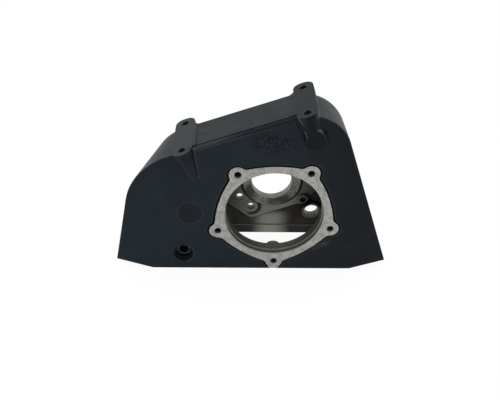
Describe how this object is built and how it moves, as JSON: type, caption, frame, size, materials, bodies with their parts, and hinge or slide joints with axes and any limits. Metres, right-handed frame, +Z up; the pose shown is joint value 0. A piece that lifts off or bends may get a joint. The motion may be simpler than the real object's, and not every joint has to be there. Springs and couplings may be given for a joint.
{
  "type": "engine front cover",
  "caption": "Cast aluminium engine front cover: machined front ring with tapped holes, sloping top pad, threaded port and a bored rear wall, open at the bottom.",
  "frame": {"origin": "centre of the machined front ring, on its face and on the shaft axis", "axes": "+X to the right seen from the front, +Y towards the engine, +Z up, square to the flat bottom"},
  "size_m": [0.3416, 0.0943, 0.229],
  "materials": {
    "painted_casting": "satin"
  },
  "bodies": {
    "root": {"front_cover_casting": "painted_casting"}
  },
  "joints": []
}
